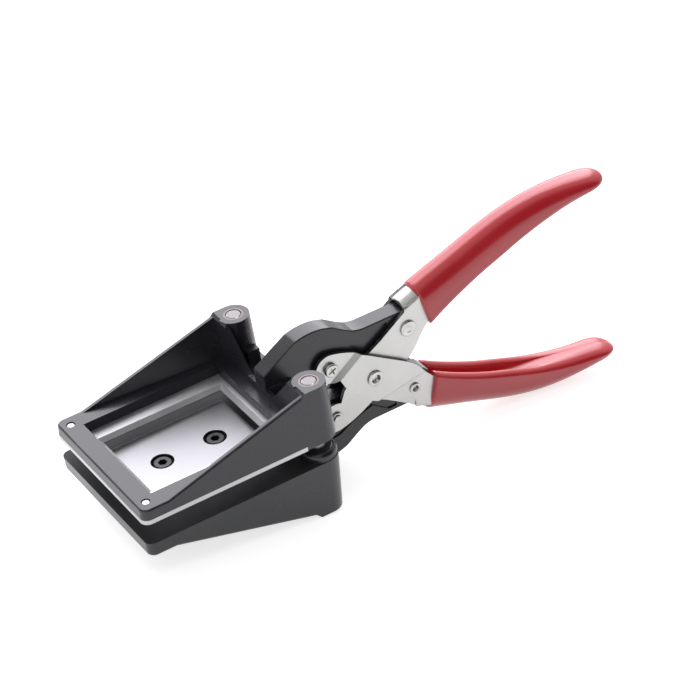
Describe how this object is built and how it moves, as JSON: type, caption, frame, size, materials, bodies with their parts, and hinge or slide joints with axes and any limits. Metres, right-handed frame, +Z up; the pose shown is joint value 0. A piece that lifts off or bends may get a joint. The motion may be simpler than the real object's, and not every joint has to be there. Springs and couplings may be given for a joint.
{
  "type": "hand-held photo die cutter",
  "caption": "Plier-type cutter: two cast heads on guide posts carry a rectangular die plate and punch; crossing sheet-steel handles with dipped grips squeeze them together.",
  "frame": {"origin": "middle of the bounding box, at the height of the table that the cutter rests on", "axes": "+X across the heads, +Y from the heads back to the grips, +Z up; the cutter leans 7.52 degrees about X because it rests on its lower bosses and lower grip"},
  "size_m": [0.065, 0.2164, 0.0858],
  "materials": {
    "black_enamel": "semi-gloss enamel on a casting",
    "plated_sheet": "matte plating",
    "dipped_grip": "gloss, soft dipped coat",
    "ground_steel": "fine ground",
    "hard_pin": "polished",
    "bush_bronze": "turned",
    "blackened_screw": "black oxide",
    "bright_fastener": "bright plating",
    "spring_steel": "drawn wire"
  },
  "bodies": {
    "lower_head": {"lower_frame": "black_enamel", "punch_block": "ground_steel", "punch_screws": "blackened_screw", "guide_pin_right": "hard_pin", "guide_pin_left": "hard_pin", "front_rivet": "bright_fastener", "rivet_washers": "bright_fastener", "return_spring": "spring_steel"},
    "upper_handle": {"upper_handle": "plated_sheet", "upper_grip": "dipped_grip", "upper_slot_rivet": "bright_fastener", "main_rivet": "bright_fastener"},
    "lower_handle": {"lower_handle": "plated_sheet", "lower_grip": "dipped_grip", "lower_slot_rivet": "bright_fastener", "pivot_screw": "bright_fastener", "pivot_nut": "bright_fastener"},
    "upper_head": {"upper_frame": "black_enamel", "die_plate": "ground_steel", "die_pins": "hard_pin", "die_screws": "blackened_screw", "guide_bush_right": "bush_bronze", "guide_bush_left": "bush_bronze"}
  },
  "joints": [
    {"name": "handle_close", "type": "hinge", "parent": "lower_head", "child": "upper_handle", "pos_m": [0, -0.0162, 0.01924], "axis": [-1, 0, 0], "range_deg": [0, 7.72], "stiffness_Nm_per_rad": 2.098, "springref_deg": -9.32},
    {"name": "handle_cross", "type": "hinge", "parent": "upper_handle", "child": "lower_handle", "pos_m": [0, -0.00134, 0.03199], "axis": [1, 0, 0], "range_deg": [0, 15.44]},
    {"name": "head_stroke", "type": "slide", "parent": "lower_head", "child": "upper_head", "axis": [0, 0.1309, -0.9914], "range_m": [0, 0.0046], "deforming": ["return_spring"]}
  ],
  "couplings": [
    {"joint": "handle_cross", "follows": "handle_close", "ratio": 2},
    {"joint": "head_stroke", "follows": "handle_close", "m_per_rad": 0.03414}
  ]
}
